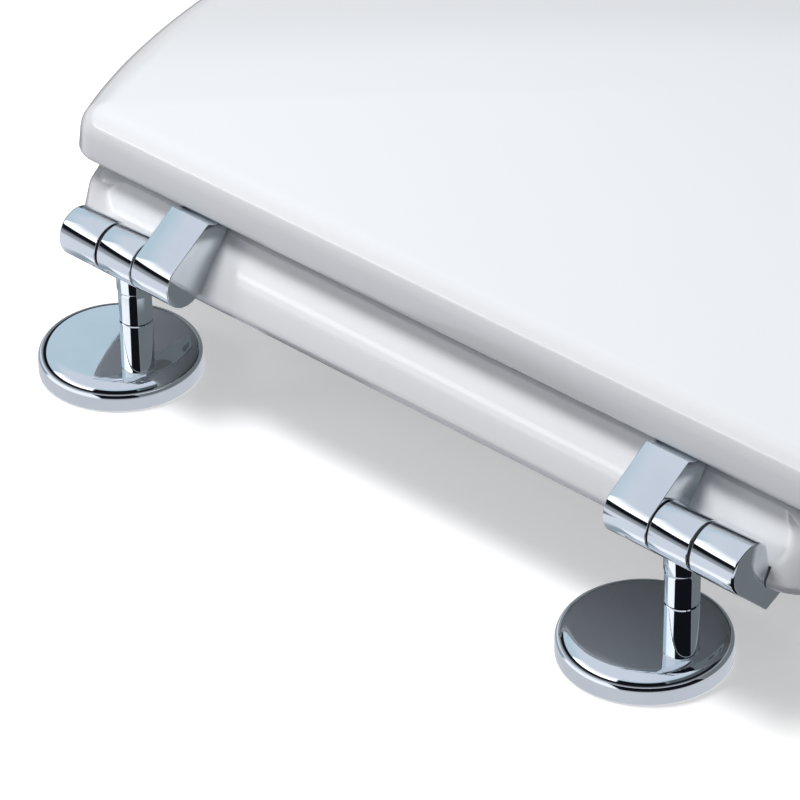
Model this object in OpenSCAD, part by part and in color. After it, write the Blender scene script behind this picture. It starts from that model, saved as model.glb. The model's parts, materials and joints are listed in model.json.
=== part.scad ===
// Toilet seat and lid on a pair of bar hinges with eccentric bases.
// Millimetres. X runs along the hinge line, +Y points to the front of the seat and Z is up.
// The origin is on the pan's face, under the hinge line, midway between the two pillars.

/* [Hinge bar] */
// Height of the hinge line above the pan
axle_h = 47.5; // [42:0.5:56]
// Distance between the centre lines of the two pillars
pillar_gap = 212; // [190:1:230]
// Diameter of the hinge bar
bar_d = 15.5; // [14:0.1:15.8]
// Diameter of the axle pin
axle_d = 8; // [5:0.1:8.4]
// Length of each arm's barrel
arm_len = 15.2; // [13:0.1:20]
// Length of the knuckle on the outer side of the pillar
knuckle_out = 7.5; // [6.6:0.1:10]
// Length of the knuckle on the inner side of the pillar
knuckle_in = 6.4; // [6.3:0.1:9]
// Room for the washer between the seat arm and the knuckle
washer_gap_out = 1.0; // [0.5:0.1:1.6]
// Room for the washer between the lid arm and the knuckle
washer_gap_in = 0.6; // [0.4:0.1:1.2]
// Wall of the bushes in the two arms
bush_wall = 1.0; // [0.6:0.1:1.2]
// Thickness of the closed end of each arm's bore
bore_end = 1.6; // [1:0.1:3]

/* [Pillar] */
// Diameter of the pillar
pillar_d = 10; // [9:0.1:11]
// Height of the joint between the lower and the upper pillar
seam_h = 26; // [19:0.5:31]
// Diameter of the spigot of the upper pillar
spigot_d = 7; // [6:0.1:7.6]
// Length of that spigot
spigot_len = 6; // [3:0.5:8]
// Radius of the flare under the knuckle
flare_r = 3; // [2:0.1:4]
// Reach of the flare beyond the pillar
flare_out = 1.1; // [0.6:0.1:1.2]
// Diameter of the pillar screw
screw_d = 5; // [4:0.1:5.4]
// Diameter of the pillar screw's head
screw_head_d = 8.5; // [7:0.1:9]
// Height of the pillar screw's head
screw_head_h = 2.8; // [2:0.1:3.2]

/* [Base] */
// Diameter of the base cover
base_d = 50; // [48:0.5:58]
// Height of the base cover
base_h = 9.5; // [9:0.1:12]
// Radius of the rounded shoulder
base_round = 4.6; // [2:0.1:5]
// Distance from the centre of the base to the pillar
base_offset = 14.8; // [12:0.1:15]
// Distance from the centre of the base to the fixing hole, away from the pillar
fixing_offset = 13.2; // [10:0.1:14]
// Direction from the left pillar to the centre of its base, from +X
left_turn = 157.5; // [0:0.5:360]
// Direction from the right pillar to the centre of its base, from +X
right_turn = 171.4; // [0:0.1:360]
// Wall of the cover around its recess
base_wall = 3; // [2:0.1:4]
// Thickness of the cover above its recess
base_top = 3.4; // [2.6:0.1:3.8]
// Radius of the fillet at the foot of the pillar
foot_r = 1.6; // [0.8:0.1:2]
// Thickness of the rubber pad
pad_t = 1.6; // [1:0.1:2.2]
// How far the pad stands out below the cover
pad_out = 0.4; // [0.2:0.1:0.8]
// Tapped radius of the fixing hole
fixing_r = 3.4; // [2.5:0.1:4.2]
// Wall of the fixing insert
insert_wall = 2.2; // [1.5:0.1:2.6]
// How far the insert stands into the cover's top
insert_rise = 2; // [0.5:0.1:2.2]

/* [Seat ring] */
// Greatest width of the lid
lid_w = 375; // [350:1:390]
// Half the length of the oval they follow
oval_b = 265; // [250:1:285]
// Distance from the hinge line to the middle of that oval
oval_y = 182; // [170:0.5:190]
// How far the seat stays inside the lid's outline at the sides and front
seat_inset = 2.5; // [1:0.1:6]
// Thickness of the seat ring
seat_t = 21; // [19:0.5:23]
// Distance from the hinge line down to the underside of the seat
seat_drop = 9.75; // [9:0.05:11]
// Distance from the hinge line to the rear edge of the seat
seat_rear = 6; // [5.8:0.1:9]
// Radius of the seat's rear corners
seat_corner = 20; // [18:1:30]
// Lean of the rear wall from upright
rear_lean = 34; // [28:0.5:36]
// Lean of the side and front wall from upright
side_lean = 10; // [5:0.5:16]
// Radius of the seat's lower edge and of its upper edge at the rear
seat_edge = 3; // [2:0.1:4]
// Radius of the seat's upper edge at the sides and front
seat_round = 8; // [4:0.5:9]
// Width of the opening
hole_w = 226; // [200:1:240]
// Length of the opening
hole_l = 290; // [260:1:310]
// Distance from the hinge line to the middle of the opening
hole_y = 233; // [224:1:240]
// Width of the rounded inner edge
inner_w = 16; // [8:0.5:24]
// Depth of the rounded inner edge
inner_h = 9; // [4:0.5:14]

/* [Lid] */
// Gap between the top of the seat and the underside of the lid
lid_gap = 4.05; // [3.8:0.05:6]
// Thickness of the lid at its edge
lid_t = 15; // [12:0.5:20]
// Distance from the hinge line to the rear edge of the lid
lid_rear = 11.9; // [11:0.1:15]
// Radius of the lid's rear corners
lid_corner = 14; // [12:1:20]
// Lean of the lid's wall from upright
lid_lean = 4; // [0:0.5:10]
// Radius of the lid's lower edge
lid_low_r = 1.5; // [0.8:0.1:3]
// Radius of the lid's upper edge
lid_top_r = 8; // [5:0.1:9]
// Rise of the lid from its edge to its middle
lid_crown = 3; // [0:0.5:6]
// Width of the rim around the recess under the lid
rim_w = 14; // [10:0.5:18]
// Length of the solid land at the rear that carries the lid arms
land_len = 46; // [44:1:60]
// Depth of the recess under the lid
recess_h = 9; // [4:0.5:10]

/* [Arms] */
// Length of the flat on the lid arm and on the seat arm's lug
arm_flat = 17; // [16:0.1:18]
// Slope of the lid arm's flat top
lid_arm_slope = 37.5; // [36:0.5:40]
// Slope of the seat arm's lug below level
lug_slope = 39; // [37:0.5:42]
// Distance from the hinge line to the front end of the tongues
tongue_end = 52; // [49:0.5:54]
// Thickness of the seat arm's tongue
tongue_t = 4; // [3:0.1:5]
// Depth of the notch that takes the lug, forward of the hinge line
notch_y = 9.8; // [9.6:0.1:11]
// Diameter of the arm screws
arm_screw_d = 4; // [3:0.1:4.4]
// Grip of the arm screws in the seat or the lid
arm_screw_grip = 9; // [6:0.5:11]
// Distance from the hinge line to the nearer arm screw
arm_screw_y = 27; // [26:0.5:30]
// Distance between the two screws of an arm
arm_screw_step = 15; // [12:0.5:17]

/* [Buffers] */
// Height of the seat buffers
buffer_h = 10; // [8:0.5:14]
// Diameter of the seat buffers
buffer_d = 22; // [16:0.5:26]
// Diameter of the lid buffers
lid_buffer_d = 13; // [10:0.5:16]
// Distance from the midline to the front seat buffers
front_buffer_x = 62; // [40:1:75]
// Distance from the lid's front end back to the front seat buffers
front_buffer_in = 58; // [53:1:63]
// Distance from the lid's sides in to the rear buffers of seat and lid
rear_buffer_in = 66.5; // [60:0.5:75]
// Distance from the hinge line to the rear buffers of seat and lid
rear_buffer_y = 110; // [95:1:140]
// Distance from the lid's sides in to the front lid buffers
lid_buffer_in = 73.5; // [70:0.5:79]
// Distance from the lid's front end back to the front lid buffers
lid_buffer_back = 122; // [112:1:137]
// Diameter of the buffers' stems
stem_d = 6; // [4:0.5:8]
// Length of the buffers' stems
stem_len = 4; // [3:0.5:5]

/* [Fits] */
// Radial play of the axle in the bushes and of the spigot in the lower pillar
run_play = 0.05; // [0.02:0.01:0.1]
// Gap between faces that turn past each other, and around the pillar screw
face_play = 0.3; // [0.25:0.01:0.35]
// Room between the lid and what it closes on
rest_play = 0.4; // [0.3:0.05:0.5]
// Radial play of an arm screw in its clearance hole
hole_play = 0.2; // [0.1:0.05:0.4]
// Radial play of pins and inserts in a tight seat
seat_play = 0.02; // [0:0.01:0.05]

/* [Hidden] */
$fn = 96;

bar_r = bar_d / 2;
axle_r = axle_d / 2;
bush_r = axle_r + run_play + bush_wall;

// Distances along the bar, from the pillar's centre line.
seat_arm_from = knuckle_out + washer_gap_out;
seat_arm_to = seat_arm_from + arm_len;
lid_arm_from = knuckle_in + washer_gap_in;
lid_arm_to = lid_arm_from + arm_len;
seat_bore_to = seat_arm_to - bore_end;
lid_bore_to = lid_arm_to - bore_end;

// Heights from the hinge line, in the seat's own level frame.
seat_low = -seat_drop;
seat_top = seat_low + seat_t;
lid_low = seat_top + lid_gap;
lid_top = lid_low + lid_t;
tongue_low = seat_low - tongue_t;

// Heights in the base.
recess_top = base_h - base_top;
recess_r = base_d / 2 - base_wall;
insert_top = recess_top + insert_rise;
insert_r = fixing_r + insert_wall;

front_buffer_y = oval_y + oval_b - front_buffer_in;
rear_buffer_x = lid_w / 2 - rear_buffer_in;
lid_buffer_x = lid_w / 2 - lid_buffer_in;
lid_buffer_y = oval_y + oval_b - lid_buffer_back;
// The front buffers' rounded lower edge rests on the pan, and this tilts the seat and lid.
buffer_round = 1;
toe_y = front_buffer_y + buffer_d / 2 - buffer_round;
toe_z = seat_drop + buffer_h - buffer_round;
rest_tilt = asin((axle_h - buffer_round) / norm([toe_y, toe_z])) - atan2(toe_z, toe_y);

// Points along each loop of the moulded outlines.
rear_n = 5;
corner_n = 10;
side_n = 33;
loop_n = 2 * (rear_n + corner_n + side_n);

function ease(u) = u * u * (3 - 2 * u);

// Half of an outline, from the middle of the rear edge to the middle of the front.
// within is its distance inside the lid's oval.
// side and back are each [inset, height]: the corner eases from one to the other.
function half_loop(within, rear, corner, side, back) =
    let (a = lid_w / 2 - within - corner, b = oval_b - within - corner, cy = rear + corner)
    let (start = asin((cy - oval_y) / b), cx = a * cos(start))
    let (turn = atan2(sin(start) / b, cos(start) / a))
    concat(
        [for (i = [0 : rear_n - 1]) [cx * i / rear_n, rear + back[0], back[1]]],
        [for (i = [0 : corner_n - 1])
            let (u = i / corner_n, ang = -90 + (turn + 90) * u)
            let (p = back + (side - back) * ease(u))
            [cx + (corner - p[0]) * cos(ang), cy + (corner - p[0]) * sin(ang), p[1]]],
        [for (i = [0 : side_n])
            let (t = start + (90 - start) * i / side_n)
            let (n = [cos(t) / a, sin(t) / b] / norm([cos(t) / a, sin(t) / b]))
            let (p = [a * cos(t), oval_y + b * sin(t)] + (corner - side[0]) * n)
            [p[0], p[1], side[1]]]
    );

function whole_loop(within, rear, corner, side, back) =
    let (h = half_loop(within, rear, corner, side, back))
    concat(h, [for (i = [len(h) - 2 : -1 : 1]) [-h[i][0], h[i][1], h[i][2]]]);

// The outer edge of a moulding as [inset, height] points: lower round, leaning wall, upper round.
function edge_points(low, high, low_r, high_r, lean) =
    let (drift = (high - low - low_r - high_r) * tan(lean) + (low_r - high_r) * (1 / cos(lean) - 1))
    concat(
        [for (i = [0 : 4]) let (ang = 270 - (90 + lean) * i / 4)
            [low_r + low_r * cos(ang), low + low_r + low_r * sin(ang)]],
        [for (i = [0 : 4]) let (ang = 180 - lean - (90 - lean) * i / 4)
            [high_r + drift + high_r * cos(ang), high - high_r + high_r * sin(ang)]]
    );

// The opening's edge, seen from its middle in the same directions as the outline's points.
function hole_loop(grow, height) =
    [for (p = whole_loop(seat_inset, seat_rear, seat_corner, [0, 0], [0, 0]))
        let (ang = atan2(p[1] - hole_y, p[0]))
        let (r = 1 / norm([cos(ang) / (hole_w / 2 + grow), sin(ang) / (hole_l / 2 + grow)]))
        [r * cos(ang), hole_y + r * sin(ang), height]];

// Triangles between neighbouring loops.
function band(j, k) =
    [for (i = [0 : loop_n - 1], half = [0, 1]) let (n = (i + 1) % loop_n)
        half == 0 ? [j * loop_n + i, k * loop_n + i, k * loop_n + n]
                  : [j * loop_n + i, k * loop_n + n, j * loop_n + n]];

function flat_list(lists) = [for (l = lists, p = l) p];

module in_seat_frame() {
    translate([0, 0, axle_h])
        rotate([-rest_tilt, 0, 0])
            children();
}

// Puts its children at a pillar with +X pointing outwards; side is -1 on the left and 1 on the right.
module at_pillar(side) {
    translate([side * pillar_gap / 2, 0, 0])
        mirror([side < 0 ? 1 : 0, 0, 0])
            children();
}

// Puts its children at the centre of a base, with the pillar on its -X side.
module at_base(side) {
    turn = side < 0 ? left_turn : right_turn;
    translate([side * pillar_gap / 2, 0, 0])
        rotate([0, 0, turn])
            translate([base_offset, 0, 0])
                children();
}

// A length of round bar along +X.
module bar(from, to, r) {
    translate([from, 0, 0])
        rotate([0, 90, 0])
            cylinder(h = to - from, r = r);
}

// Extrudes an outline drawn in Y and Z along X.
module slab(from, to) {
    translate([from, 0, 0])
        rotate([90, 0, 90])
            linear_extrude(height = to - from)
                children();
}

module each_arm_screw() {
    for (i = [0, 1])
        translate([0, arm_screw_y + arm_screw_step * i, 0])
            children();
}

// A countersunk screw that points up, with its head's face at zero.
module arm_screw(length, play) {
    cylinder(h = length, r = arm_screw_d / 2 + play);
    cylinder(h = arm_screw_d / 2, r1 = arm_screw_d + play, r2 = arm_screw_d / 2 + play);
}

module mirror_copy() {
    for (side = [0, 1])
        mirror([side, 0, 0])
            children();
}

// Places of the buffers; side is -1 or 1, and front is 0 or 1.
module at_seat_buffer(side, front) {
    x = front == 1 ? front_buffer_x : rear_buffer_x;
    y = front == 1 ? front_buffer_y : rear_buffer_y;
    translate([side * x, y, seat_low])
        children();
}

module at_lid_buffer(side, front) {
    x = front == 1 ? lid_buffer_x : rear_buffer_x;
    y = front == 1 ? lid_buffer_y : rear_buffer_y;
    translate([side * x, y, lid_low + recess_h])
        children();
}

// A round buffer that hangs below zero, with its stem above.
module buffer(d, h) {
    r = d / 2;
    rotate_extrude()
        union() {
            translate([0, -h]) square([r - buffer_round, h]);
            translate([0, buffer_round - h]) square([r, h - buffer_round]);
            translate([r - buffer_round, buffer_round - h])
                intersection() {
                    circle(buffer_round);
                    translate([0, -buffer_round]) square(buffer_round);
                }
        }
    cylinder(h = stem_len, r = stem_d / 2);
}

module stem_hole() {
    translate([0, 0, -1])
        cylinder(h = stem_len + 1.3, r = stem_d / 2 + seat_play);
}

module seat_ring() {
    side = edge_points(seat_low, seat_top, seat_edge, seat_round, side_lean);
    back = edge_points(seat_low, seat_top, seat_edge, seat_edge, rear_lean);
    outer = [for (i = [0 : len(side) - 1])
        whole_loop(seat_inset, seat_rear, seat_corner, side[i], back[i])];
    brow = [for (i = [0 : 5]) let (ang = 90 - 18 * i)
        hole_loop(inner_w * (1 - cos(ang)), seat_top - inner_h * (1 - sin(ang)))];
    heel = [for (i = [0 : 2]) let (ang = 45 * i)
        hole_loop(2 * (1 - cos(ang)), seat_low + 2 - 2 * sin(ang))];
    loops = concat(outer, brow, heel);
    count = len(loops);
    color("white")
        in_seat_frame()
            difference() {
                polyhedron(
                    points = flat_list(loops),
                    faces = flat_list([for (j = [0 : count - 1]) band(j, (j + 1) % count)])
                );
                for (side = [-1, 1], front = [0, 1])
                    at_seat_buffer(side, front) stem_hole();
                mirror_copy()
                    translate([pillar_gap / 2, 0, 0]) {
                        lug_notch();
                        translate([(seat_arm_from + seat_arm_to) / 2, 0, tongue_low])
                            each_arm_screw()
                                cylinder(
                                    h = tongue_t + arm_screw_grip + 0.5,
                                    r = arm_screw_d / 2 + seat_play
                                );
                    }
            }
}

// The notch in the seat's rear edge: it clears the pillar, and the seat arm's lug passes through it.
module lug_notch() {
    lead_out = 4;
    lead_in = pillar_d / 2 + flare_out + rest_play;
    translate([-lead_in, 0, seat_low - 1])
        cube([lead_in + seat_arm_to + lead_out, notch_y, seat_drop - 1.4]);
}

module lid() {
    edge = edge_points(lid_low, lid_top, lid_low_r, lid_top_r, lid_lean);
    mouth = [rim_w, lid_low];
    floor_edge = [rim_w + 2, lid_low + recess_h];
    inside = [
        whole_loop(0, lid_rear + land_len, lid_corner, floor_edge, floor_edge - [rim_w, 0]),
        whole_loop(0, lid_rear + land_len, lid_corner, mouth, mouth - [rim_w, 0])
    ];
    outer = [for (p = edge) whole_loop(0, lid_rear, lid_corner, p, p)];
    top_loop = outer[len(outer) - 1];
    crown = [for (s = [0.94, 0.82, 0.64, 0.4, 0.18])
        [for (p = top_loop) [s * p[0], oval_y + s * (p[1] - oval_y), lid_top + lid_crown * (1 - s * s)]]];
    loops = concat(inside, outer, crown);
    count = len(loops);
    floor_mid = count * loop_n;
    last = floor_mid - loop_n;
    color("white")
        in_seat_frame()
            difference() {
                polyhedron(
                    points = concat(
                        flat_list(loops),
                        [[0, oval_y, lid_low + recess_h], [0, oval_y, lid_top + lid_crown]]
                    ),
                    faces = concat(
                        flat_list([for (j = [0 : count - 2]) band(j, j + 1)]),
                        [for (i = [0 : loop_n - 1]) [i, (i + 1) % loop_n, floor_mid]],
                        [for (i = [0 : loop_n - 1]) [last + (i + 1) % loop_n, last + i, floor_mid + 1]]
                    )
                );
                for (side = [-1, 1], front = [0, 1])
                    at_lid_buffer(side, front) stem_hole();
                mirror_copy()
                    translate([pillar_gap / 2 - (lid_arm_from + lid_arm_to) / 2, 0, lid_low - 1])
                        each_arm_screw()
                            cylinder(h = arm_screw_grip + 1.5, r = arm_screw_d / 2 + seat_play);
            }
}

module seat_buffer(side, front) {
    color("gainsboro")
        in_seat_frame()
            at_seat_buffer(side, front)
                buffer(buffer_d, buffer_h);
}

module lid_buffer(side, front) {
    color("gainsboro")
        in_seat_frame()
            at_lid_buffer(side, front)
                buffer(lid_buffer_d, recess_h + lid_gap - rest_play);
}

// The round disc, and the lower pillar that stands on it off centre.
module base_cover(side) {
    r = base_d / 2;
    color("silver")
        at_base(side)
            difference() {
                union() {
                    rotate_extrude()
                        union() {
                            translate([0, pad_out]) square([r, base_h - base_round - pad_out]);
                            translate([0, base_h - base_round - 0.1])
                                square([r - base_round, base_round + 0.1]);
                            translate([r - base_round, base_h - base_round]) circle(base_round);
                        }
                    translate([-base_offset, 0, 0]) {
                        translate([0, 0, base_h - 1])
                            cylinder(h = seam_h - base_h + 1, r = pillar_d / 2);
                        translate([0, 0, base_h])
                            foot_fillet();
                    }
                }
                translate([0, 0, -1]) cylinder(h = recess_top + 1, r = recess_r);
                translate([fixing_offset, 0, -1])
                    cylinder(h = insert_top + 1 + seat_play, r = insert_r + seat_play);
                translate([-base_offset, 0, 0]) {
                    cylinder(h = seam_h, r = screw_d / 2 + face_play);
                    translate([0, 0, seam_h - spigot_len])
                        cylinder(h = spigot_len + 1, r = spigot_d / 2 + run_play);
                }
            }
}

module foot_fillet() {
    rotate_extrude()
        difference() {
            translate([pillar_d / 2 - 0.5, -0.5]) square([foot_r + 0.5, foot_r + 0.5]);
            translate([pillar_d / 2 + foot_r, foot_r]) circle(foot_r);
        }
}

module base_plate(side) {
    color("gray")
        at_base(side)
            difference() {
                translate([0, 0, pad_t])
                    cylinder(h = recess_top - pad_t, r = recess_r - seat_play);
                translate([fixing_offset, 0, 0])
                    cylinder(h = base_h, r = insert_r + seat_play);
                translate([-base_offset, 0, 0])
                    cylinder(h = base_h, r = screw_head_d / 2 + face_play);
            }
}

module fixing_insert(side) {
    color("goldenrod")
        at_base(side)
            translate([fixing_offset, 0, pad_t])
                difference() {
                    cylinder(h = insert_top - pad_t, r = insert_r);
                    translate([0, 0, -1])
                        cylinder(h = insert_top, r = fixing_r);
                }
}

module base_pad(side) {
    color("dimgray")
        at_base(side)
            difference() {
                cylinder(h = pad_t, r = recess_r - seat_play);
                translate([fixing_offset, 0, -1])
                    cylinder(h = pad_t + 2, r = insert_r);
            }
}

// The upper pillar with its knuckle and the spigot that stands in the lower pillar.
module post(side) {
    top = axle_h - bar_r;
    color("silver")
        at_pillar(side)
            difference() {
                union() {
                    translate([0, 0, axle_h])
                        bar(-knuckle_in, knuckle_out, bar_r);
                    translate([0, 0, seam_h + face_play])
                        cylinder(h = axle_h - seam_h - face_play, r = pillar_d / 2);
                    translate([0, 0, seam_h - spigot_len + face_play])
                        cylinder(h = spigot_len + 1, r = spigot_d / 2);
                    intersection() {
                        rotate_extrude()
                            difference() {
                                translate([0, top - flare_r])
                                    square([pillar_d / 2 + flare_out, flare_r + 2]);
                                translate([pillar_d / 2 + flare_r, top - flare_r]) circle(flare_r);
                            }
                        translate([-knuckle_in, -bar_r, 0])
                            cube([knuckle_in + knuckle_out, bar_d, axle_h]);
                    }
                }
                translate([0, 0, axle_h])
                    bar(-lid_arm_to, seat_arm_to, axle_r + seat_play);
                translate([0, 0, seam_h - spigot_len])
                    cylinder(h = axle_h - bar_r - seam_h + spigot_len, r = screw_d / 2 + seat_play);
            }
}

module pillar_screw(side) {
    head_top = recess_top - face_play;
    color("gray")
        at_pillar(side) {
            translate([0, 0, head_top - screw_head_h])
                cylinder(h = screw_head_h, r = screw_head_d / 2);
            translate([0, 0, head_top - 1])
                cylinder(h = axle_h - bar_r - 1 - head_top, r = screw_d / 2);
        }
}

module axle(side) {
    color("lightgray")
        at_pillar(side)
            translate([0, 0, axle_h])
                bar(face_play - lid_bore_to, seat_bore_to - face_play, axle_r);
}

// Outer end of the bar, with a lug down past the seat's rear edge and a tongue under the seat.
module seat_arm(side) {
    root = bar_r * [-sin(lug_slope), -cos(lug_slope)];
    tip = root + arm_flat * [cos(lug_slope), -sin(lug_slope)];
    front = notch_y - rest_play;
    color("silver")
        in_seat_frame()
            at_pillar(side)
                difference() {
                    union() {
                        bar(seat_arm_from, seat_arm_to, bar_r);
                        slab(seat_arm_from, seat_arm_to)
                            polygon([
                                [0, 0],
                                root,
                                tip,
                                [notch_y + 4, tongue_low],
                                [tongue_end, tongue_low],
                                [tongue_end, seat_low],
                                [front, seat_low],
                                [front, seat_low + 3],
                                bar_r * [cos(lug_slope), sin(lug_slope)]
                            ]);
                    }
                    bar(seat_arm_from - 1, seat_bore_to, bush_r);
                    translate([(seat_arm_from + seat_arm_to) / 2, 0, tongue_low])
                        each_arm_screw()
                            translate([0, 0, -0.01])
                                arm_screw(tongue_t + 1, hole_play);
                }
}

// Inner end of the bar, with a sloped block that runs up to the lid and a tongue under it.
module lid_arm(side) {
    low = seat_top + rest_play;
    // The block's flats start a hair inside the round of the barrel.
    flat_r = bar_r - 0.02;
    root = flat_r * [-sin(lid_arm_slope), cos(lid_arm_slope)];
    crest = root + arm_flat * [cos(lid_arm_slope), sin(lid_arm_slope)];
    color("silver")
        in_seat_frame()
            at_pillar(side)
                difference() {
                    union() {
                        bar(-lid_arm_to, -lid_arm_from, bar_r);
                        slab(-lid_arm_to, -lid_arm_from)
                            polygon([
                                [0, 0],
                                root,
                                crest,
                                [lid_rear - 0.3, lid_low],
                                [tongue_end, lid_low],
                                [tongue_end, low],
                                [(flat_r + low * sin(rear_lean)) / cos(rear_lean), low],
                                flat_r * [cos(rear_lean), -sin(rear_lean)]
                            ]);
                    }
                    bar(-lid_bore_to, 1 - lid_arm_from, bush_r);
                    translate([-(lid_arm_from + lid_arm_to) / 2, 0, low])
                        each_arm_screw()
                            translate([0, 0, -0.01])
                                arm_screw(lid_low - low + 1, hole_play);
                }
}

// A washer that lies against the knuckle, clear of the arm.
module washer(side, knuckle, arm) {
    color("black")
        at_pillar(side)
            translate([0, 0, axle_h])
                difference() {
                    bar(min(knuckle, arm), max(knuckle, arm), bar_r - 0.5);
                    bar(min(knuckle, arm) - 1, max(knuckle, arm) + 1, axle_r + run_play);
                }
}

module outer_washer(side) {
    washer(side, knuckle_out, seat_arm_from - face_play);
}

module inner_washer(side) {
    washer(side, -knuckle_in, face_play - lid_arm_from);
}

module bush(side, from, to) {
    color("ivory")
        in_seat_frame()
            at_pillar(side)
                difference() {
                    bar(from, to, bush_r - seat_play);
                    bar(from - 1, to + 1, axle_r + run_play);
                }
}

module seat_bush(side) {
    bush(side, seat_arm_from, seat_bore_to);
}

module lid_bush(side) {
    bush(side, -lid_bore_to, -lid_arm_from);
}

module seat_arm_screws() {
    color("gray")
        in_seat_frame()
            for (side = [-1, 1])
                at_pillar(side)
                    translate([(seat_arm_from + seat_arm_to) / 2, 0, tongue_low])
                        each_arm_screw()
                            arm_screw(tongue_t + arm_screw_grip, 0);
}

module lid_arm_screws() {
    color("gray")
        in_seat_frame()
            for (side = [-1, 1])
                at_pillar(side)
                    translate([-(lid_arm_from + lid_arm_to) / 2, 0, seat_top + rest_play])
                        each_arm_screw()
                            arm_screw(lid_low - seat_top - rest_play + arm_screw_grip, 0);
}

seat_ring();
lid();
seat_buffer(-1, 0);  // left_rear_seat_buffer
seat_buffer(1, 0);  // right_rear_seat_buffer
seat_buffer(-1, 1);  // left_front_seat_buffer
seat_buffer(1, 1);  // right_front_seat_buffer
lid_buffer(-1, 0);  // left_rear_lid_buffer
lid_buffer(1, 0);  // right_rear_lid_buffer
lid_buffer(-1, 1);  // left_front_lid_buffer
lid_buffer(1, 1);  // right_front_lid_buffer
base_cover(-1);  // left_base_cover
base_cover(1);  // right_base_cover
base_plate(-1);  // left_base_plate
base_plate(1);  // right_base_plate
fixing_insert(-1);  // left_fixing_insert
fixing_insert(1);  // right_fixing_insert
base_pad(-1);  // left_base_pad
base_pad(1);  // right_base_pad
post(-1);  // left_post
post(1);  // right_post
pillar_screw(-1);  // left_pillar_screw
pillar_screw(1);  // right_pillar_screw
axle(-1);  // left_axle
axle(1);  // right_axle
seat_arm(-1);  // left_seat_arm
seat_arm(1);  // right_seat_arm
lid_arm(-1);  // left_lid_arm
lid_arm(1);  // right_lid_arm
seat_bush(-1);  // left_seat_bush
seat_bush(1);  // right_seat_bush
lid_bush(-1);  // left_lid_bush
lid_bush(1);  // right_lid_bush
outer_washer(-1);  // left_outer_washer
outer_washer(1);  // right_outer_washer
inner_washer(-1);  // left_inner_washer
inner_washer(1);  // right_inner_washer
seat_arm_screws();
lid_arm_screws();
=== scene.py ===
import bmesh
import bpy
import json
import math
from mathutils import Matrix, Vector


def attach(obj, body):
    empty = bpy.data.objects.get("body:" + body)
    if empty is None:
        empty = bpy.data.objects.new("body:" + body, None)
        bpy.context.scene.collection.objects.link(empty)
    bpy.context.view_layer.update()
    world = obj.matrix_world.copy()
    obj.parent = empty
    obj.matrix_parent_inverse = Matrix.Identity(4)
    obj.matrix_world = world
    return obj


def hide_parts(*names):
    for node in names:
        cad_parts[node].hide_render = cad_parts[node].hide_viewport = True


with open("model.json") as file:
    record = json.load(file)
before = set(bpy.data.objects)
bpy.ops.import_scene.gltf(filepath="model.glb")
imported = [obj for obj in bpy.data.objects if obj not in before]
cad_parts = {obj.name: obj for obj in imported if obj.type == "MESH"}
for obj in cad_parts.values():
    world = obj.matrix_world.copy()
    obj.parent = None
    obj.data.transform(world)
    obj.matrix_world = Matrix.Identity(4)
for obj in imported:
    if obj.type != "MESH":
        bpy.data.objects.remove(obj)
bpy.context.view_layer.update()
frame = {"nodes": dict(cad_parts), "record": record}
print("frame loaded")

mm = 0.001
sides = {"left": -1, "right": 1}
sharpAngle = math.radians(25)     # an edge that turns by more is rounded
smoothAngle = math.radians(32)    # an edge that turns by less is shaded smooth

# Sizes are in millimetres. The spans along the bar count outwards from the pillar.
hinge = {
    "axleHeight": 47.5, "pillarGap": 212, "barRadius": 7.75,
    "knuckle": (-6.4, 7.5), "seatArm": (8.5, 23.7), "lidArm": (-22.2, -7.0), "notchY": 9.8, "gap": 0.4,
}
tilt = math.radians(3.9946)    # set by the height of the front buffers


def clearSelection():
    if bpy.context.object and bpy.context.object.mode != "OBJECT":
        bpy.ops.object.mode_set(mode="OBJECT")
    bpy.ops.object.select_all(action="DESELECT")


def selectOnly(piece):
    clearSelection()
    bpy.context.view_layer.objects.active = piece
    piece.select_set(True)


def panFrame(point):
    return Vector(point) * mm


def barFrame(point):
    # heights are counted from the hinge line
    return Vector((point[0], point[1], point[2] + hinge["axleHeight"])) * mm


def seatFrame(point):
    # the seat's own level frame, also counted from the hinge line
    x, y, z = point
    return Vector((x, y * math.cos(tilt) + z * math.sin(tilt),
                   hinge["axleHeight"] - y * math.sin(tilt) + z * math.cos(tilt))) * mm


def loft(name, loops, place=panFrame, ring=False):
    # a circle is laid on the first loop, and its edge is extruded from loop to loop
    count = len(loops[0])
    clearSelection()
    bpy.ops.mesh.primitive_circle_add(vertices=count, radius=1)
    piece = bpy.context.object
    piece.name = name
    bpy.ops.object.mode_set(mode="EDIT")
    bpy.ops.mesh.select_mode(type="EDGE")
    bpy.ops.mesh.select_all(action="SELECT")
    for step, loop in enumerate(loops):
        if step:
            bpy.ops.mesh.extrude_edges_move()
        mesh = bmesh.from_edit_mesh(piece.data)
        mesh.verts.ensure_lookup_table()
        for vertex, point in zip(mesh.verts[-count:], loop):
            vertex.co = place(point)
        if step == 0 and not ring:
            bpy.ops.mesh.edge_face_add()    # closes the first end
        bmesh.update_edit_mesh(piece.data)
    if ring:
        bpy.ops.mesh.select_all(action="DESELECT")
        bpy.ops.mesh.select_non_manifold(extend=False)
        bpy.ops.mesh.bridge_edge_loops()
    else:
        bpy.ops.mesh.edge_face_add()    # closes the last end
    bpy.ops.mesh.select_all(action="SELECT")
    bpy.ops.mesh.normals_make_consistent(inside=False)
    bpy.ops.object.mode_set(mode="OBJECT")
    return piece


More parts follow.
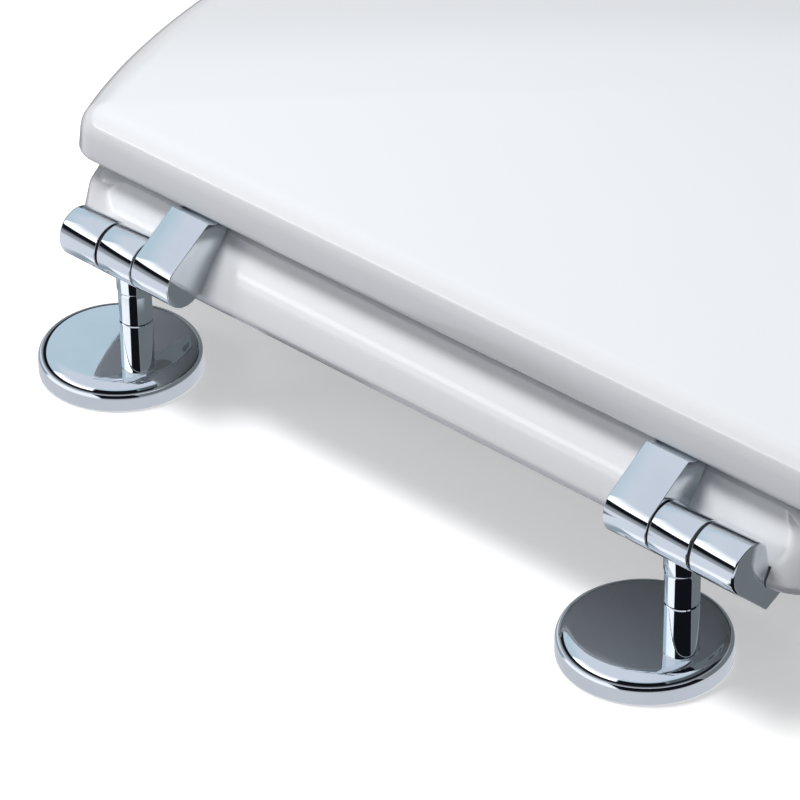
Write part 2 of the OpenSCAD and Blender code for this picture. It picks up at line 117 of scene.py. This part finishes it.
def bevelSharp(piece, width, segments, test=None):
    # rounds the sharp edges that pass the test on their middle
    selectOnly(piece)
    bpy.ops.object.mode_set(mode="EDIT")
    bpy.ops.mesh.select_mode(type="EDGE")
    bpy.ops.mesh.select_all(action="DESELECT")
    mesh = bmesh.from_edit_mesh(piece.data)
    for edge in mesh.edges:
        middle = (edge.verts[0].co + edge.verts[1].co) / 2 / mm
        sharp = len(edge.link_faces) == 2 and edge.calc_face_angle() > sharpAngle
        edge.select_set(sharp and (test is None or test(middle)))
    bmesh.update_edit_mesh(piece.data)
    bpy.ops.mesh.bevel(offset=width * mm, segments=segments, affect="EDGES", clamp_overlap=True)
    bpy.ops.object.mode_set(mode="OBJECT")


def finish(piece, body, slot, node):
    selectOnly(piece)
    bpy.ops.object.shade_smooth_by_angle(angle=smoothAngle)
    piece.data.materials.clear()
    piece.data.materials.append(materials[slot])
    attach(piece, body)
    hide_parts(node)


def join(first, second):
    selectOnly(first)
    second.select_set(True)
    bpy.ops.object.join()
    return first


def cutBox(piece, low, high, place):
    # takes a box out of a piece
    clearSelection()
    bpy.ops.mesh.primitive_cube_add(size=1)
    tool = bpy.context.object
    for vertex in tool.data.vertices:
        vertex.co = place([upper if part > 0 else lower for lower, upper, part in zip(low, high, vertex.co)])
    selectOnly(piece)
    bpy.ops.object.modifier_add(type="BOOLEAN")
    cut = piece.modifiers[-1]
    cut.operation = "DIFFERENCE"
    cut.solver = "EXACT"
    cut.object = tool
    bpy.ops.object.modifier_apply(modifier=cut.name)
    bpy.data.objects.remove(tool)


def arc(centreX, centreY, radius, start, end, steps):
    angles = [math.radians(start + (end - start) * i / steps) for i in range(steps + 1)]
    return [(centreX + radius * math.cos(angle), centreY + radius * math.sin(angle)) for angle in angles]


# Shader maths

class Wire:
    # a shader value that adds and multiplies like a number
    def __init__(self, graph, socket):
        self.graph, self.socket = graph, socket

    def maths(self, operation, first, second=0.0):
        return self.graph.wire("ShaderNodeMath", {"operation": operation}, {0: first, 1: second})

    def __add__(self, other):
        return self.maths("ADD", self, other)

    def __sub__(self, other):
        return self.maths("SUBTRACT", self, other)

    def __rsub__(self, other):
        return self.maths("SUBTRACT", other, self)

    def __mul__(self, other):
        return self.maths("MULTIPLY", self, other)

    __radd__ = __add__
    __rmul__ = __mul__

    def root(self):
        return self.maths("SQRT", self)

    def azimuth(self, x):
        # degrees from +X, of the point whose y is this value
        return self.maths("ARCTAN2", self, x) * math.degrees(1)

    def step(self, low, high):
        # 0 below low, 1 above high, smooth between
        return self.graph.wire("ShaderNodeMapRange", {"interpolation_type": "SMOOTHSTEP"},
                               {"Value": self, "From Min": low, "From Max": high}, "Result")

    def between(self, low, high, soft):
        # 1 from low to high and 0 outside, with soft ends
        return self.step(low - soft, low + soft) * (1 - self.step(high - soft, high + soft))


class Graph:
    def __init__(self, owner):
        owner.use_nodes = True
        self.tree = owner.node_tree
        self.tree.nodes.clear()

    def node(self, kind, settings=None, sockets=None):
        node = self.tree.nodes.new(kind)
        for key, value in (settings or {}).items():
            setattr(node, key, value)
        for key, value in (sockets or {}).items():
            socket = node.inputs[key]
            if isinstance(value, Wire):
                self.tree.links.new(value.socket, socket)
            else:
                socket.default_value = (*value, 1) if socket.type == "RGBA" else value
        return node

    def wire(self, kind, settings=None, sockets=None, output=0):
        return Wire(self, self.node(kind, settings, sockets).outputs[output])

    def coordinates(self, space):
        point = self.wire("ShaderNodeTexCoord", output=space)
        return [Wire(self, part) for part in self.node("ShaderNodeSeparateXYZ", sockets={0: point}).outputs]

    def noise(self, scale, detail):
        point = self.wire("ShaderNodeTexCoord", output="Object")
        return self.wire("ShaderNodeTexNoise", sockets={"Vector": point, "Scale": scale, "Detail": detail})

    def bump(self, height, strength, distance):
        return self.wire("ShaderNodeBump",
                         sockets={"Height": height, "Strength": strength, "Distance": distance * mm})

    def mix(self, factor, first, second):
        # of two colours, whose sockets are the node's 6 and 7
        return self.wire("ShaderNodeMix", {"data_type": "RGBA"}, {0: factor, 6: first, 7: second}, 2)

    def forRay(self, ray, others, these):
        # one shader for the rays of a kind, and another for all others
        factor = self.wire("ShaderNodeLightPath", output=ray)
        return self.wire("ShaderNodeMixShader", sockets={0: factor, 1: others, 2: these})


def surface(name, build):
    material = bpy.data.materials.new(name)
    graph = Graph(material)
    shader = graph.wire("ShaderNodeBsdfPrincipled", sockets=build(graph))
    graph.node("ShaderNodeOutputMaterial", sockets={"Surface": shader})
    return material


chromeLook = {
    "pale": (0.80, 0.84, 0.875), "deep": (0.76, 0.80, 0.84), "roughness": 0.035,
    "smearScale": 60, "smearDetail": 3, "smearSpan": (0.35, 0.75), "smearRough": 0.03,
    "rippleScale": 90, "rippleDetail": 2, "rippleBump": 0.02, "rippleDepth": 0.2,
}
whiteLook = {
    "pale": (0.87, 0.885, 0.91), "deep": (0.855, 0.87, 0.90), "roughness": 0.16,
    "cloudScale": 9, "cloudDetail": 3, "cloudRough": 0.05, "coatRoughness": 0.03,
    "rippleScale": 35, "rippleDetail": 2, "rippleBump": 0.03, "rippleDepth": 0.3,
}
rubberLook = {"pale": (0.80, 0.80, 0.79), "deep": (0.72, 0.72, 0.71), "roughness": 0.5, "scale": 500}
padLook = {"pale": (0.05, 0.05, 0.052), "deep": (0.03, 0.03, 0.032), "roughness": 0.6, "scale": 500}
steelLook = {"pale": (0.58, 0.58, 0.57), "deep": (0.45, 0.45, 0.45), "roughness": 0.28, "scale": 300}
brassLook = {"pale": (0.78, 0.6, 0.3), "deep": (0.62, 0.46, 0.2), "roughness": 0.3, "scale": 300}
washerLook = {"pale": (0.015, 0.015, 0.016), "deep": (0.01, 0.01, 0.01), "roughness": 0.4, "scale": 300}
bushLook = {"pale": (0.82, 0.8, 0.72), "deep": (0.75, 0.73, 0.65), "roughness": 0.45, "scale": 300}
grainLook = {"detail": 4, "rough": 0.12, "bump": 0.1, "depth": 0.15}    # shared by these six


def chrome(graph):
    smear = graph.noise(chromeLook["smearScale"], chromeLook["smearDetail"]).step(*chromeLook["smearSpan"])
    ripple = graph.noise(chromeLook["rippleScale"], chromeLook["rippleDetail"])
    return {
        "Base Color": graph.mix(smear, chromeLook["pale"], chromeLook["deep"]),
        "Metallic": 1.0,
        "Roughness": chromeLook["roughness"] + chromeLook["smearRough"] * smear,
        "Normal": graph.bump(ripple, chromeLook["rippleBump"], chromeLook["rippleDepth"]),
    }


def whiteGloss(graph):
    cloud = graph.noise(whiteLook["cloudScale"], whiteLook["cloudDetail"])
    ripple = graph.noise(whiteLook["rippleScale"], whiteLook["rippleDetail"])
    return {
        "Base Color": graph.mix(cloud, whiteLook["pale"], whiteLook["deep"]),
        "Roughness": whiteLook["roughness"] + whiteLook["cloudRough"] * cloud,
        "Coat Weight": 1.0,
        "Coat Roughness": whiteLook["coatRoughness"],
        "Normal": graph.bump(ripple, whiteLook["rippleBump"], whiteLook["rippleDepth"]),
    }


def grained(look, metallic=0.0):
    def build(graph):
        grain = graph.noise(look["scale"], grainLook["detail"])
        return {
            "Base Color": graph.mix(grain, look["pale"], look["deep"]),
            "Metallic": metallic,
            "Roughness": look["roughness"] + grainLook["rough"] * grain,
            "Normal": graph.bump(grain, grainLook["bump"], grainLook["depth"]),
        }
    return build


materials = {
    "chrome": surface("chromePlate", chrome),
    "white_moulding": surface("whiteGloss", whiteGloss),
    "buffer_rubber": surface("whiteRubber", grained(rubberLook)),
    "pad_rubber": surface("blackRubber", grained(padLook)),
    "steel": surface("plainSteel", grained(steelLook, 1.0)),
    "brass": surface("turnedBrass", grained(brassLook, 1.0)),
    "washer_plastic": surface("blackNylon", grained(washerLook)),
    "bush_plastic": surface("naturalNylon", grained(bushLook)),
}
slots = {part["node"]: part["material_slot"] for part in frame["record"]["subparts"]}
for node, piece in frame["nodes"].items():
    piece.data.materials.clear()
    piece.data.materials.append(materials[slots[node]])
print("materials made")

# Seat and lid

outline = {
    "width": 375, "halfLength": 265, "middleY": 182,
    "rearSteps": 16, "cornerSteps": 28, "sideSteps": 84, "roundSteps": 8,
}


def halfLoop(within, rear, corner, side, back):
    # from the middle of the rear edge to the middle of the front; side and back are (inset, height)
    halfWide = outline["width"] / 2 - within - corner
    halfLong = outline["halfLength"] - within - corner
    cornerY = rear + corner
    start = math.asin((cornerY - outline["middleY"]) / halfLong)
    cornerX = halfWide * math.cos(start)
    turn = math.degrees(math.atan2(math.sin(start) / halfLong, math.cos(start) / halfWide))
    points = [(cornerX * i / outline["rearSteps"], rear + back[0], back[1])
              for i in range(outline["rearSteps"])]
    for i in range(outline["cornerSteps"]):
        part = i / outline["cornerSteps"]
        ease = part * part * (3 - 2 * part)
        inset = back[0] + (side[0] - back[0]) * ease
        height = back[1] + (side[1] - back[1]) * ease
        angle = math.radians(-90 + (turn + 90) * part)
        points.append((cornerX + (corner - inset) * math.cos(angle),
                       cornerY + (corner - inset) * math.sin(angle), height))
    for i in range(outline["sideSteps"] + 1):
        angle = start + (math.pi / 2 - start) * i / outline["sideSteps"]
        normal = Vector((math.cos(angle) / halfWide, math.sin(angle) / halfLong)).normalized()
        out = normal * (corner - side[0])
        points.append((halfWide * math.cos(angle) + out.x,
                       outline["middleY"] + halfLong * math.sin(angle) + out.y, side[1]))
    return points


def wholeLoop(within, rear, corner, side, back=None):
    half = halfLoop(within, rear, corner, side, back or side)
    return half + [(-x, y, z) for x, y, z in half[-2:0:-1]]


def edgePoints(low, high, lowRound, highRound, lean):
    # the outer edge of a moulding as (inset, height): lower round, leaning wall, upper round
    slope, steps = math.radians(lean), outline["roundSteps"]
    drift = ((high - low - lowRound - highRound) * math.tan(slope)
             + (lowRound - highRound) * (1 / math.cos(slope) - 1))
    return (arc(lowRound, low + lowRound, lowRound, 270, 180 - lean, steps)
            + arc(highRound + drift, high - highRound, highRound, 180 - lean, 90, steps))


seat = {
    "inset": 2.5, "low": -9.75, "thick": 21, "rear": 6, "corner": 20, "rearLean": 34, "sideLean": 10,
    "edge": 3, "round": 8, "underFlat": 2, "topFlat": 1.5, "bulge": 0.7, "bulgeSteps": 10,
    "holeWidth": 226, "holeLength": 290, "holeY": 233, "holeFlat": 2,
    "browWidth": 16, "browDepth": 9, "browSteps": 12, "heel": 2, "heelSteps": 6,
    "notchInner": -6.5, "notchBack": 9, "notchBelow": 3, "notchHeight": 7.35,
}
seatTop = seat["low"] + seat["thick"]


def bulged(edge, amount):
    # bows the straight wall outwards; it comes after the flat's one point and the lower round
    top = outline["roundSteps"] + 2
    (inset, height), (topInset, topHeight) = edge[top - 1], edge[top]
    across, rise = topInset - inset, topHeight - height
    wall = []
    for i in range(1, seat["bulgeSteps"]):
        part = i / seat["bulgeSteps"]
        out = 4 * amount * part * (1 - part) / math.hypot(across, rise)
        wall.append((inset + across * part - rise * out, height + rise * part + across * out))
    return edge[:top] + wall + edge[top:]


def holeLoop(grow, height):
    # the opening's ellipse, with a point for each one of the outline
    loop = []
    for x, y, z in wholeLoop(seat["inset"], seat["rear"], seat["corner"], (0, 0)):
        angle = math.atan2(y - seat["holeY"], x)
        radius = 1 / math.hypot(math.cos(angle) / (seat["holeWidth"] / 2 + grow),
                                math.sin(angle) / (seat["holeLength"] / 2 + grow))
        loop.append((radius * math.cos(angle), seat["holeY"] + radius * math.sin(angle), height))
    return loop


def makeSeat():
    low, top, heel, flat = seat["low"], seatTop, seat["heel"], seat["holeFlat"]
    edges = []
    for topRound, lean, bulge in ((seat["round"], seat["sideLean"], 0),
                                  (seat["edge"], seat["rearLean"], seat["bulge"])):
        edge = edgePoints(low, top, seat["edge"], topRound, lean)
        edge = [(edge[0][0] + seat["underFlat"], low)] + edge + [(edge[-1][0] + seat["topFlat"], top)]
        edges.append(bulged(edge, bulge))
    loops = [wholeLoop(seat["inset"], seat["rear"], seat["corner"], side, back) for side, back in zip(*edges)]
    loops.append(holeLoop(seat["browWidth"] + flat, top))
    for across, up in arc(0, 0, 1, 90, 0, seat["browSteps"]):
        loops.append(holeLoop(seat["browWidth"] * (1 - across), top - seat["browDepth"] * (1 - up)))
    for across, up in arc(0, 0, 1, 0, 90, seat["heelSteps"]):
        loops.append(holeLoop(heel * (1 - across), low + heel * (1 - up)))
    loops.append(holeLoop(heel + flat, low))
    piece = loft("seatRing", loops, seatFrame, ring=True)
    for side in sides.values():
        ends = (seat["notchInner"], hinge["seatArm"][1] + hinge["gap"])
        start, end = sorted(side * (hinge["pillarGap"] / 2 + along) for along in ends)
        cutBox(piece, (start, seat["rear"] - seat["notchBack"], low - seat["notchBelow"]),
               (end, hinge["notchY"], low + seat["notchHeight"]), seatFrame)
    finish(piece, "seat", "white_moulding", "seat_ring")


# Each point of the recess is (inwards, upwards) from the low edge inside the rim.
lid = {
    "low": 15.3, "thick": 15, "rear": 11.9, "corner": 14, "lean": 4, "lowRound": 1.5, "topRound": 8,
    "underFlat": 1.5, "rim": 14, "land": 46, "innerCorner": 30, "crown": 3,
    "recess": ((8, 9), (3, 9), (1.6, 8.6), (0.5, 1.5), (0, 0.6), (-0.4, 0.15), (-0.9, 0)),
    "crownScales": (0.985, 0.95, 0.88, 0.78, 0.65, 0.5, 0.35, 0.2, 0.08),
}


def makeLid():
    low, top, middle = lid["low"], lid["low"] + lid["thick"], outline["middleY"]
    loops = []
    for inwards, up in lid["recess"]:
        side, back = (lid["rim"] + inwards, low + up), (inwards, low + up)
        loops.append(wholeLoop(0, lid["rear"] + lid["land"], lid["innerCorner"], side, back))
    edge = edgePoints(low, top, lid["lowRound"], lid["topRound"], lid["lean"])
    for point in [(edge[0][0] + lid["underFlat"], low)] + edge:
        loops.append(wholeLoop(0, lid["rear"], lid["corner"], point))
    rim = loops[-1]
    for scale in lid["crownScales"]:
        height = top + lid["crown"] * (1 - scale * scale)
        loops.append([(scale * x, middle + scale * (y - middle), height) for x, y, z in rim])
    piece = loft("lidShell", loops, seatFrame)
    finish(piece, "lid", "white_moulding", "lid")


makeSeat()
makeLid()
print("seat and lid made")

# Hinges

base = {
    "radius": 25, "height": 9.5, "round": 4.6, "roundSteps": 20, "dome": 0.6, "steps": 128,
    "offset": 14.8, "turn": {"left": 157.5, "right": 171.4}, "padOut": 0.4,
    "recess": 22, "recessTop": 6.1, "recessFlat": 0.5, "recessEdge": 0.3,
    "footEdge": 0.5, "footMiddle": 0.15, "rings": (20, 18, 16, 14, 12, 10, 8, 6, 4, 2, 0.5),
}
pillar = {
    "radius": 5, "steps": 96, "seam": 26, "seamGap": 0.3, "chamfer": 0.25, "edgeLoop": 0.3,
    "foot": 0.35, "footOut": 0.4, "footSunk": 0.3, "roundSteps": 8,
    "spigot": 3.5, "spigotPlay": 0.1, "spigotDepth": 4, "socketDepth": 1, "endFlat": 0.5,
    "flareRound": 4, "flareOut": 0.3, "flareSunk": 2, "topOut": 0.5, "topSunk": 3,
}
knuckle = {"round": 0.35, "roundSteps": 3, "steps": 128}


def turned(name, profile, centre, steps):
    # a profile of (radius, height) points round an upright axis
    angles = [2 * math.pi * i / steps for i in range(steps)]
    return loft(name, [[(centre[0] + radius * math.cos(angle), centre[1] + radius * math.sin(angle), height)
                        for angle in angles] for radius, height in profile])


def alongBar(name, profile, side, part, place):
    # a closed outline of (y, z) points carried along one part of the bar
    span = sorted(side * (hinge["pillarGap"] / 2 + along) for along in hinge[part])
    return loft(name, [[(x, y, z) for y, z in profile] for x in span], place)


def domed(radius, height):
    # half of the dome's height is gained in the middle of the disc, and half is lost at its rim
    rise = base["dome"] * (0.5 - (radius / base["radius"]) ** 2)
    return (radius, height + rise * max(0, (height - base["height"] + base["round"]) / base["round"]))


def makeBase(name, side):
    x, turn = side * hinge["pillarGap"] / 2, math.radians(base["turn"][name])
    centre = (x + base["offset"] * math.cos(turn), base["offset"] * math.sin(turn))
    outer, top, low = base["radius"], base["height"], base["padOut"]
    inner, ceiling, edge, middle = base["recess"], base["recessTop"], base["footEdge"], base["footMiddle"]
    shoulder = arc(outer - base["round"], top - base["round"], base["round"], 0, 90, base["roundSteps"])
    disc = turned(name + "BaseDisc", [
        (inner - base["recessFlat"], ceiling), (inner, ceiling),
        (inner, low + base["recessEdge"]), (inner + base["recessEdge"], low),
        (outer - edge, low), (outer - middle, low + middle), (outer, low + edge),
        (outer, top - base["round"] - pillar["edgeLoop"]),
        *[domed(*point) for point in shoulder], *[domed(radius, top) for radius in base["rings"]],
    ], centre, base["steps"])
    radius, seam, foot = pillar["radius"], pillar["seam"], pillar["foot"]
    post = turned(name + "LowerPillar", [
        (radius + foot + pillar["footOut"], top - pillar["footSunk"]),
        *arc(radius + foot, top + foot, foot, 270, 180, pillar["roundSteps"]),
        (radius, seam - pillar["chamfer"] - pillar["edgeLoop"]),
        (radius, seam - pillar["chamfer"]), (radius - pillar["chamfer"], seam), (pillar["spigot"], seam),
        (pillar["spigot"] - pillar["endFlat"], seam - pillar["socketDepth"]),
    ], (x, 0), pillar["steps"])
    finish(join(disc, post), name + "_base", "chrome", name + "_base_cover")


def makePost(name, side):
    radius, chamfer, flare = pillar["radius"], pillar["chamfer"], pillar["flareRound"]
    foot, under = pillar["seam"] + pillar["seamGap"], hinge["axleHeight"] - hinge["barRadius"]
    spigot, end = pillar["spigot"] - pillar["spigotPlay"], pillar["seam"] - pillar["spigotDepth"]
    flareEnd = 180 - math.degrees(math.acos((flare - pillar["flareOut"]) / flare))
    shaft = turned(name + "Post", [
        (spigot - pillar["endFlat"], end), (spigot, end), (spigot, foot),
        (radius - chamfer, foot), (radius, foot + chamfer), (radius, foot + chamfer + pillar["edgeLoop"]),
        (radius, under - flare - pillar["edgeLoop"]),
        *arc(radius + flare, under - flare, flare, 180, flareEnd, pillar["roundSteps"]),
        (radius + pillar["flareOut"], under + pillar["flareSunk"]),
        (radius + pillar["topOut"], under + pillar["topSunk"]),
    ], (side * hinge["pillarGap"] / 2, 0), pillar["steps"])
    circle = arc(0, 0, hinge["barRadius"], 0, 360, knuckle["steps"])[:-1]
    barrel = alongBar(name + "Knuckle", circle, side, "knuckle", barFrame)
    bevelSharp(barrel, knuckle["round"], knuckle["roundSteps"])
    finish(join(shaft, barrel), "hinge_mount", "chrome", name + "_post")


def onward(start, length, angle):
    # the point at a length and an angle from the start
    turn = math.radians(angle)
    return (start[0] + length * math.cos(turn), start[1] + length * math.sin(turn))


arm = {"flat": 17, "tongueEnd": 52, "tongueThick": 4, "steps": 72}
seatArm = {
    "slope": 39, "heelRun": 4, "lugRise": 3,
    "endRound": 0.8, "endSteps": 5, "edgeRound": 0.25, "edgeSteps": 3,
}
lidArm = {"slope": 37.5, "clear": 0.35, "lidGap": 0.3, "edgeRound": 0.3, "edgeSteps": 3}


def makeSeatArm(name, side):
    radius, slope, low = hinge["barRadius"], seatArm["slope"], seat["low"]
    tip = onward(onward((0, 0), radius, 270 - slope), arm["flat"], -slope)
    under, front = low - arm["tongueThick"], hinge["notchY"] - hinge["gap"]
    profile = arc(0, 0, radius, slope, 270 - slope, arm["steps"]) + [
        tip, (hinge["notchY"] + seatArm["heelRun"], under), (arm["tongueEnd"], under),
        (arm["tongueEnd"], low), (front, low), (front, low + seatArm["lugRise"]),
    ]
    piece = alongBar(name + "SeatArm", profile, side, "seatArm", seatFrame)
    outer = hinge["pillarGap"] / 2 + hinge["seatArm"][1]
    bevelSharp(piece, seatArm["endRound"], seatArm["endSteps"], lambda at: abs(abs(at.x) - outer) < 0.01)
    bevelSharp(piece, seatArm["edgeRound"], seatArm["edgeSteps"], lambda at: abs(at.x) < outer - 1)
    finish(piece, "seat", "chrome", name + "_seat_arm")


def makeLidArm(name, side):
    radius, slope, lean = hinge["barRadius"], lidArm["slope"], math.radians(seat["rearLean"])
    crest = onward(onward((0, 0), radius, 90 + slope), arm["flat"], slope)
    low, top = seatTop + hinge["gap"], lid["low"]
    heel = (radius - lidArm["clear"] + low * math.sin(lean)) / math.cos(lean)
    profile = arc(0, 0, radius, 90 + slope, 360 - seat["rearLean"], arm["steps"]) + [
        (heel, low), (arm["tongueEnd"], low), (arm["tongueEnd"], top),
        (lid["rear"] - lidArm["lidGap"], top), crest,
    ]
    piece = alongBar(name + "LidArm", profile, side, "lidArm", seatFrame)
    bevelSharp(piece, lidArm["edgeRound"], lidArm["edgeSteps"])
    finish(piece, "lid", "chrome", name + "_lid_arm")


for name, side in sides.items():
    makeBase(name, side)
    makePost(name, side)
    makeSeatArm(name, side)
    makeLidArm(name, side)
print("hinges made")

# Studio

# The room as glossy surfaces see it: spans are azimuths in degrees from +X, heights are the ray's z
studio = {
    "overhead": (0.71, 0.75, 0.83), "behind": (0.55, 0.68, 0.77), "behindHeight": (0.6, 0.8),
    "panel": (1.35, 1.36, 1.38), "panelSpan": (-152, -84), "panelSoft": 3, "panelHeight": (0.50, 0.76),
    "strip": (3.4, 3.4, 3.4), "stripHeight": (0.43, 0.465), "stripSoft": 0.006,
    "gloom": (0.10, 0.115, 0.125), "gloomSpan": (-22, 112), "gloomSoft": 6, "gloomHeight": (0.58, 0.7),
    "dark": (0.006, 0.007, 0.010), "darkSpan": (-84, -22), "darkSoft": 2, "darkHeight": (0.57, 0.63),
    "horizon": (0.368, 0.388), "haze": (0.36, 0.38, 0.41), "hazeHeight": (0.02, 0.22), "ambient": 0.24,
}
# The floor, and the reflections painted on it that only glossy surfaces see: distances are in metres, angles
# in degrees round a pillar
floorLook = {
    "size": 12, "colour": (0.84, 0.84, 0.845), "bounce": (0.34, 0.34, 0.36), "farEdge": (0.3, 1.1),
    "glow": (0.42, 0.42, 0.42), "farGlow": (1.02, 1.02, 1.02), "white": (0.76, 0.79, 0.87),
    "halfWide": 2, "halfSoft": 0.001, "closeEdge": (0.052, 0.07), "soft": 3,
    "brightStart": -146, "bright": (1.1, 1.12, 1.16), "paintedShadeEnd": 133, "paintedShade": (0.17, 0.19, 0.2),
    "teal": (0.30, 0.37, 0.43), "behindEdge": (0.0, 0.03),
    "darkSpan": {"left": (-85, -31), "right": (-96, 10)}, "darkSoft": 2, "darkEdge": (0.12, 0.17),
    "ring": (0.62, 0.64, 0.69), "ringEdge": (0.031, 0.035),
}


def distance(x, y):
    return (x * x + y * y).root()


def paintedPillarReflections(graph, name, side, x, y, room):
    # the reflections painted on the floor round one hinge, which its chrome mirrors
    away = x - side * hinge["pillarGap"] / 2 * mm
    turn = math.radians(base["turn"][name])
    offX = away - base["offset"] * math.cos(turn) * mm
    offY = y - base["offset"] * math.sin(turn) * mm
    reach, angle = distance(away, y), y.azimuth(away)
    half = (side * x).between(0, floorLook["halfWide"], floorLook["halfSoft"])
    close = half * (1 - reach.step(*floorLook["closeEdge"]))
    brightStart, paintedShadeEnd, soft = floorLook["brightStart"], floorLook["paintedShadeEnd"], floorLook["soft"]
    start, end = floorLook["darkSpan"][name]
    dark = angle.between(start, end, floorLook["darkSoft"]) * (1 - reach.step(*floorLook["darkEdge"]))
    for mask, colour in (
        # painted reflection: grey-teal close to the pillar outside the other sectors
        (close * (1 - angle.between(brightStart, paintedShadeEnd, soft)), floorLook["teal"]),
        # painted highlight: a sector brighter than white close to the pillar
        (close * angle.between(brightStart, start, soft), floorLook["bright"]),
        # painted shade: a dark grey sector close to the pillar
        (close * angle.between(end, paintedShadeEnd, soft), floorLook["paintedShade"]),
        # painted shade: the floor behind the hinge line, under the seat, is dark grey
        (half * y.step(*floorLook["behindEdge"]), floorLook["paintedShade"]),
        # painted reflection: a near-black sector in front of the pillar, mirrored as the chrome's black
        # stripe
        (half * dark, studio["dark"]),
        # painted reflection: a pale lavender ring round the base disc
        (1 - distance(offX, offY).step(*floorLook["ringEdge"]), floorLook["ring"]),
    ):
        room = graph.mix(mask, room, colour)
    return room


def makeFloor():
    clearSelection()
    bpy.ops.mesh.primitive_plane_add(size=floorLook["size"])
    floor = bpy.context.object
    floor.name = "floor"
    material = bpy.data.materials.new("paleFloor")
    graph = Graph(material)
    x, y = graph.coordinates("Object")[:2]
    far = distance(x, y).step(*floorLook["farEdge"])
    # painted reflection: the floor's colour for glossy rays, pale near the object and hazy far off
    room = graph.mix(far, floorLook["white"], studio["haze"])
    for name, side in sides.items():
        room = paintedPillarReflections(graph, name, side, x, y, room)
    glow = graph.mix(far, floorLook["glow"], floorLook["farGlow"])
    paper = graph.wire("ShaderNodeBsdfDiffuse", sockets={"Color": floorLook["colour"]})
    light = graph.wire("ShaderNodeEmission", sockets={"Color": glow})
    bright = graph.wire("ShaderNodeAddShader", sockets={0: paper, 1: light})
    dull = graph.wire("ShaderNodeBsdfDiffuse", sockets={"Color": floorLook["bounce"]})
    # painted reflection: an emission card that glossy rays see in place of the lit floor
    paintedReflection = graph.wire("ShaderNodeEmission", sockets={"Color": room})
    shader = graph.forRay("Is Camera Ray", paper, bright)
    shader = graph.forRay("Is Diffuse Ray", shader, dull)
    shader = graph.forRay("Is Glossy Ray", shader, paintedReflection)
    graph.node("ShaderNodeOutputMaterial", sockets={"Surface": shader})
    floor.data.materials.append(material)


def makeWorld():
    world = bpy.data.worlds.new("studio")
    bpy.context.scene.world = world
    graph = Graph(world)
    x, y, z = graph.coordinates("Generated")
    angle = y.azimuth(x)
    room = graph.mix(z.step(*studio["behindHeight"]), studio["behind"], studio["overhead"])
    panel = graph.mix(z.step(*studio["panelHeight"]), studio["panel"], studio["overhead"])
    panel = graph.mix(z.between(*studio["stripHeight"], studio["stripSoft"]), panel, studio["strip"])
    gloom = angle.between(*studio["gloomSpan"], studio["gloomSoft"]) * (1 - z.step(*studio["gloomHeight"]))
    dark = angle.between(*studio["darkSpan"], studio["darkSoft"]) * (1 - z.step(*studio["darkHeight"]))
    for mask, colour in (
        (angle.between(*studio["panelSpan"], studio["panelSoft"]), panel),
        (gloom, studio["gloom"]),
        (dark, studio["dark"]),
        (1 - z.step(*studio["horizon"]), studio["dark"]),
        (1 - z.step(*studio["hazeHeight"]), studio["haze"]),
    ):
        room = graph.mix(mask, room, colour)
    even = graph.wire("ShaderNodeBackground", sockets={"Color": (1, 1, 1), "Strength": studio["ambient"]})
    shown = graph.wire("ShaderNodeBackground", sockets={"Color": room})
    white = graph.wire("ShaderNodeBackground", sockets={"Color": (1, 1, 1)})
    shader = graph.forRay("Is Glossy Ray", even, shown)
    shader = graph.forRay("Is Camera Ray", shader, white)
    graph.node("ShaderNodeOutputWorld", sockets={"Surface": shader})


lamps = {
    "softbox": {"place": (-330, -210, 1310), "target": (0, 60, 0), "size": (480, 420), "power": 13.6},
    "fill": {"place": (350, 1450, 480), "target": (0, 230, 0), "size": (800, 500), "power": 6},
    "panel": {"place": (-850, -640, 540), "target": (0, 0, 20), "size": (300, 200), "power": 1.2},
}


def makeLamp(name, values):
    clearSelection()
    place = Vector(values["place"])
    bpy.ops.object.light_add(type="AREA", location=place * mm)
    lamp = bpy.context.object
    lamp.name = name
    lamp.data.shape = "RECTANGLE"
    lamp.data.size, lamp.data.size_y = (length * mm for length in values["size"])
    lamp.data.energy = values["power"]
    lamp.visible_glossy = False
    aim = (Vector(values["target"]) - place).normalized()
    lamp.rotation_euler = aim.to_track_quat("-Z", "Y").to_euler()


camera = {
    "place": (773.56, -811.80, 787.67), "azimuth": 43.56, "elevation": 33.55, "roll": -0.81,
    "lens": 214.79, "sensor": 36, "clip": (0.05, 50),
}


def makeCamera():
    bpy.ops.object.camera_add()
    view = bpy.context.object
    azimuth, elevation, roll = (math.radians(camera[key]) for key in ("azimuth", "elevation", "roll"))
    back = Vector((math.sin(azimuth) * math.cos(elevation), -math.cos(azimuth) * math.cos(elevation),
                   math.sin(elevation)))
    right = Vector((0, 0, 1)).cross(back).normalized()
    up = back.cross(right)
    across = math.cos(roll) * right + math.sin(roll) * up
    upward = math.cos(roll) * up - math.sin(roll) * right
    turn = Matrix((across, upward, back)).transposed().to_4x4()
    view.matrix_world = Matrix.Translation(Vector(camera["place"]) * mm) @ turn
    view.data.lens = camera["lens"]
    view.data.sensor_width = camera["sensor"]
    view.data.clip_start, view.data.clip_end = camera["clip"]
    bpy.context.scene.camera = view


makeFloor()
makeWorld()
for name, values in lamps.items():
    makeLamp(name, values)
makeCamera()
bpy.context.scene.view_settings.view_transform = "Standard"
print("studio made")
